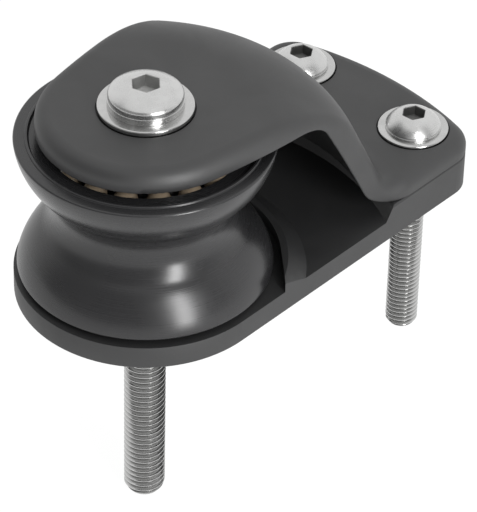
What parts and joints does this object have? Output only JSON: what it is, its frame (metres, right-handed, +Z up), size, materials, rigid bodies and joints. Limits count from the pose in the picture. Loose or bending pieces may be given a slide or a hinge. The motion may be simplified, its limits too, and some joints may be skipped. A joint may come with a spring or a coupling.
{
  "type": "deck lead block",
  "caption": "Bolt-down deck block: a tulip-shaped ball and roller bearing sheave that turns between a base plate and an S-shaped cheek, to lead a line along the deck.",
  "frame": {"origin": "on the deck face of the base plate, on the axis of the sheave and its screw", "axes": "+Z up along the sheave's axis, away from the deck; +Y along the base plate, from the sheave to the two rear screws; +X to the side"},
  "size_m": [0.0608, 0.1176, 0.1205],
  "materials": {
    "black_anodised": "matte black anodised",
    "sheave_anodised": "glossy black anodised",
    "hub_alloy": "hard anodised grey",
    "race_steel": "ground stainless",
    "bearing_polymer": "tan bearing polymer",
    "cage_polymer": "black acetal",
    "stainless": "polished stainless",
    "washer_stainless": "tumbled stainless"
  },
  "bodies": {
    "block_frame": {"base_plate": "black_anodised", "top_cheek": "black_anodised", "bearing_hub": "hub_alloy", "upper_race": "race_steel", "lower_race": "race_steel", "centre_screw": "stainless", "centre_washer": "washer_stainless", "right_rear_screw": "stainless", "right_rear_washer": "washer_stainless", "left_rear_screw": "stainless", "left_rear_washer": "washer_stainless"},
    "sheave": {"sheave": "sheave_anodised"},
    "roller_set": {"upper_rollers": "bearing_polymer", "lower_rollers": "bearing_polymer", "upper_roller_cage": "cage_polymer", "lower_roller_cage": "cage_polymer"},
    "upper_ball_set": {"upper_balls": "bearing_polymer", "upper_ball_cage": "cage_polymer"},
    "lower_ball_set": {"lower_balls": "bearing_polymer", "lower_ball_cage": "cage_polymer"}
  },
  "joints": [
    {"name": "sheave_spin", "type": "hinge", "parent": "block_frame", "child": "sheave", "pos_m": [0, 0, 0.02575], "axis": [0, 0, 1], "continuous": true},
    {"name": "roller_orbit", "type": "hinge", "parent": "block_frame", "child": "roller_set", "pos_m": [0, 0, 0.02575], "axis": [0, 0, 1], "continuous": true},
    {"name": "upper_ball_orbit", "type": "hinge", "parent": "block_frame", "child": "upper_ball_set", "pos_m": [0, 0, 0.02575], "axis": [0, 0, 1], "continuous": true},
    {"name": "lower_ball_orbit", "type": "hinge", "parent": "block_frame", "child": "lower_ball_set", "pos_m": [0, 0, 0.02575], "axis": [0, 0, 1], "continuous": true}
  ],
  "couplings": [
    {"joint": "roller_orbit", "follows": "sheave_spin", "ratio": 0.58621},
    {"joint": "upper_ball_orbit", "follows": "sheave_spin", "ratio": 0.54956},
    {"joint": "lower_ball_orbit", "follows": "sheave_spin", "ratio": 0.54956}
  ]
}
